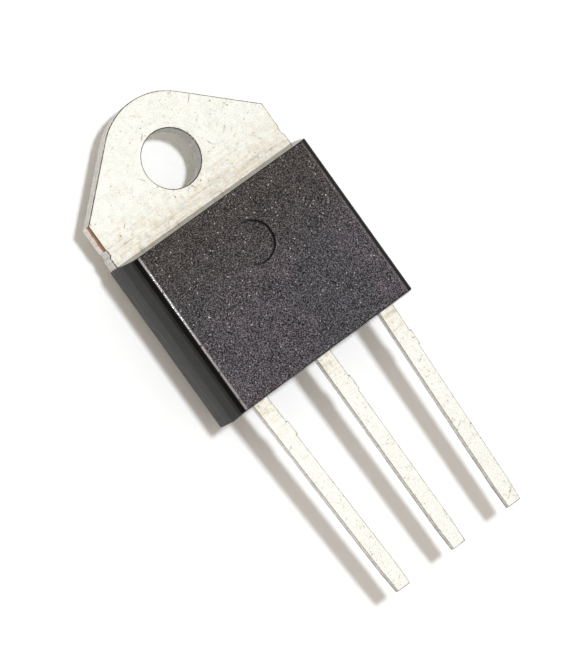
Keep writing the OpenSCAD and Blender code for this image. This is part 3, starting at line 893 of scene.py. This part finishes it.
class TRIAC_OT_leads(bpy.types.Operator):
    """Makes the three leads with their inner pads: rounded edges and ragged sheared sides"""
    bl_idname = "triac.leads"
    bl_label = "Leads"

    def execute(self, context):
        metal = context.scene.triac_metal
        build_edge_tree()
        step, cut, half = metal.mesh_step / MM, metal.roughness_of_cut / MM, metal.lead_width / MM / 2
        tin = finish("lead_plating")
        lines = []
        for number, node in enumerate(LEAD_ROOT_X):
            tip, root = TIPS[node], Vector((LEAD_ROOT_X[node], LEAD_ROOT_Y, LEAD_MIDDLE_Z))
            bm = merged_mesh(node)
            round_edges(bm, sharp_edges(bm, 40), metal.lead_radius / MM, 2)
            cut_across(bm, 1, tip.y + 0.1, LEAD_ROOT_Y + 0.1, step)
            for v in bm.verts:
                if v.co.y > LEAD_ROOT_Y - 0.05:
                    continue
                along = (root.y - v.co.y) / (root.y - tip.y)
                off = v.co.x - (root.x + (tip.x - root.x) * along)
                if abs(off) > half - 0.12:
                    v.co.x -= math.copysign(wander(v.co, cut * 1.3, 0.25, number + 5.0), off)
            piece = finish_piece(bm, node + "_plated", tin)
            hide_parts(node)
            end = Vector((0, 0.2, 0))  # the burrs stop short of both ends
            for side in (-1, 1):
                for height in (-0.27, 0.26):  # just inside the lead's back and front
                    shift = Vector((side * (half - 0.03), 0, height))
                    lines.append([root + shift - end, tip + shift + end])
        base = polyline_object(lines, "lead_edges")
        mesh = run_geometry_tree(base, "Crumbs along an edge", "lead_burrs", Step=metal.burr_step,
                                 Wander=(0.00001, 0.00006, 0.00001), Smallest=metal.burr_size * 0.2,
                                 Largest=metal.burr_size, Stretch=(1.6, 0.8, 0.6), Seed=11, Material=tin)
        place_piece(mesh, "lead_burrs", tin)
        return {"FINISHED"}


class TRIAC_OT_flash(bpy.types.Operator):
    """Makes the broken lines of flash across the moulding's two ends, at its parting line"""
    bl_idname = "triac.flash"
    bl_label = "Flash"

    def execute(self, context):
        sizes = context.scene.triac_moulding
        compound = finish("moulding")
        sunk = 0.02  # how deep the line lies in the moulding
        x, z = BODY_HIGH.x - sunk, LEAD_HIGH.z - LEAD_THICKNESS
        leaning = 0.10  # how far the tab-end wall leans back at the parting line
        ends = (BODY_LOW.y + sunk, BODY_HIGH.y - leaning - sunk)
        base = polyline_object([[(-x, y, z), (x, y, z)] for y in ends], "parting_line")
        mesh = run_geometry_tree(base, "Crumbs along an edge", "parting_flash", Step=sizes.flash_step,
                                 Wander=(0.00001, 0.00001, 0.000005), Smallest=sizes.flash_size * 0.3,
                                 Largest=sizes.flash_size, Stretch=(1.0, 1.0, 0.5), Seed=5,
                                 Material=compound)
        place_piece(mesh, "parting_flash", compound)
        return {"FINISHED"}


class TRIAC_OT_inner_pieces(bpy.types.Operator):
    """Gives the pieces inside the moulding their finishes"""
    bl_idname = "triac.inner_pieces"
    bl_label = "Inner pieces"

    def execute(self, context):
        slots = {part["node"]: part["material_slot"] for part in frame["record"]["subparts"]}
        for name in INSERTS:
            NODES[name].data.materials.clear()
            NODES[name].data.materials.append(finish(slots[name]))
        return {"FINISHED"}


class TRIAC_OT_stage(bpy.types.Operator):
    """Makes the floor, the lights and the camera"""
    bl_idname = "triac.stage"
    bl_label = "Stage"

    def execute(self, context):
        stage = context.scene.triac_stage
        make_floor(stage)
        make_lights(context.scene, stage)
        data = bpy.data.cameras.new("camera")
        data.lens, data.clip_start, data.clip_end = stage.camera_lens, 0.01, 5.0
        camera = new_object("camera", data)
        camera.location, camera.rotation_euler = stage.camera_place, stage.camera_turn
        context.scene.camera = camera
        context.scene.view_settings.view_transform = "Standard"
        return {"FINISHED"}


def seen_directly(g):
    """1 for rays from the camera and for rays that gloss or glass send on."""
    rays = g.add("ShaderNodeLightPath").outputs
    return g.math("MAXIMUM", rays["Is Camera Ray"],
                  g.math("MAXIMUM", rays["Is Glossy Ray"], rays["Is Transmission Ray"]))


def make_floor(stage):
    half = stage.floor_size / 2
    bm = bmesh.new()
    corners = ((-half, -half), (half, -half), (half, half), (-half, half))
    bm.faces.new([bm.verts.new((x, y, -stage.floor_gap)) for x, y in corners])
    floor = scratch_object(bm, "floor")
    material = bpy.data.materials.new("pale_paper")
    g = empty_graph(material)
    fibres = g.noise(g.coordinates("Object"), 0.0006, 3.0)
    paper = g.blend(g.times(fibres, 0.03), stage.floor_colour, (0.7, 0.7, 0.7))
    white = g.add("ShaderNodeCombineXYZ", {i: stage.floor_white for i in range(3)}).outputs[0]
    seen = g.blend(seen_directly(g), paper, white)
    matt = g.add("ShaderNodeBsdfDiffuse", {"Color": seen})
    g.add("ShaderNodeOutputMaterial", {"Surface": matt.outputs[0]})
    floor.data.materials.append(material)


def make_lights(scene, stage):
    world = bpy.data.worlds.new("studio")
    g = empty_graph(world)
    up = g.split(g.coordinates("Generated"))[2]
    sky = g.blend(g.ramp(up, 0.40, 0.90), stage.sky_low, stage.sky_high)
    lit = g.add("ShaderNodeBackground", {"Color": sky, "Strength": 1.0})
    white = g.add("ShaderNodeBackground", {"Color": (1.0, 1.0, 1.0), "Strength": 1.0})
    camera_ray = g.add("ShaderNodeLightPath").outputs["Is Camera Ray"]
    both = g.add("ShaderNodeMixShader", {0: camera_ray, 1: lit.outputs[0], 2: white.outputs[0]})
    g.add("ShaderNodeOutputWorld", {"Surface": both.outputs[0]})
    scene.world = world
    lamp = bpy.data.lights.new("key", "AREA")
    lamp.shape, lamp.size = "DISK", stage.key_size
    lamp.energy, lamp.color = stage.key_power, stage.key_colour
    tilt, turn = stage.key_tilt, stage.key_turn
    towards = Vector((math.sin(tilt) * math.cos(turn), math.sin(tilt) * math.sin(turn), math.cos(tilt)))
    key = new_object("key", lamp)
    middle = Vector((0.0, -0.013, 0.0))  # of the part
    key.location = middle + towards * stage.key_distance
    key.rotation_euler = towards.to_track_quat("Z", "Y").to_euler()


class TRIAC_PT_panel(bpy.types.Panel):
    """Lists the sizes, the colours and the steps of the triac"""
    bl_idname = "TRIAC_PT_panel"
    bl_label = "Triac"
    bl_space_type = "VIEW_3D"
    bl_region_type = "UI"
    bl_category = "Triac"

    def draw(self, context):
        for name, _, steps in LAYOUT:
            box = self.layout.box()
            group = getattr(context.scene, name)
            for key in group.__annotations__:
                box.prop(group, key)
            for step in steps:
                box.operator(step.bl_idname)


LAYOUT = (  # each scene property, its class, and the steps that the panel lists under it
    ("triac_moulding", TRIAC_PG_moulding,
     (TRIAC_OT_finishes, TRIAC_OT_moulding, TRIAC_OT_filler_grains, TRIAC_OT_flash)),
    ("triac_metal", TRIAC_PG_metal, (TRIAC_OT_tab, TRIAC_OT_leads)),
    ("triac_inner", TRIAC_PG_inner, (TRIAC_OT_inner_pieces,)),
    ("triac_stage", TRIAC_PG_stage, (TRIAC_OT_stage,)),
)
CLASSES = [cls for _, group, steps in LAYOUT for cls in (group, *steps)] + [TRIAC_PT_panel]


def register():
    for cls in CLASSES:
        bpy.utils.register_class(cls)
    for name, group, _ in LAYOUT:
        setattr(bpy.types.Scene, name, bpy.props.PointerProperty(type=group))


def unregister():
    for name, _, _ in LAYOUT:
        delattr(bpy.types.Scene, name)
    for cls in reversed(CLASSES):
        bpy.utils.unregister_class(cls)


def main():
    register()
    bpy.ops.triac.finishes()
    bpy.ops.triac.moulding()
    bpy.ops.triac.filler_grains()
    bpy.ops.triac.tab()
    bpy.ops.triac.leads()
    bpy.ops.triac.flash()
    bpy.ops.triac.inner_pieces()
    bpy.ops.triac.stage()


if __name__ == "__main__":
    main()
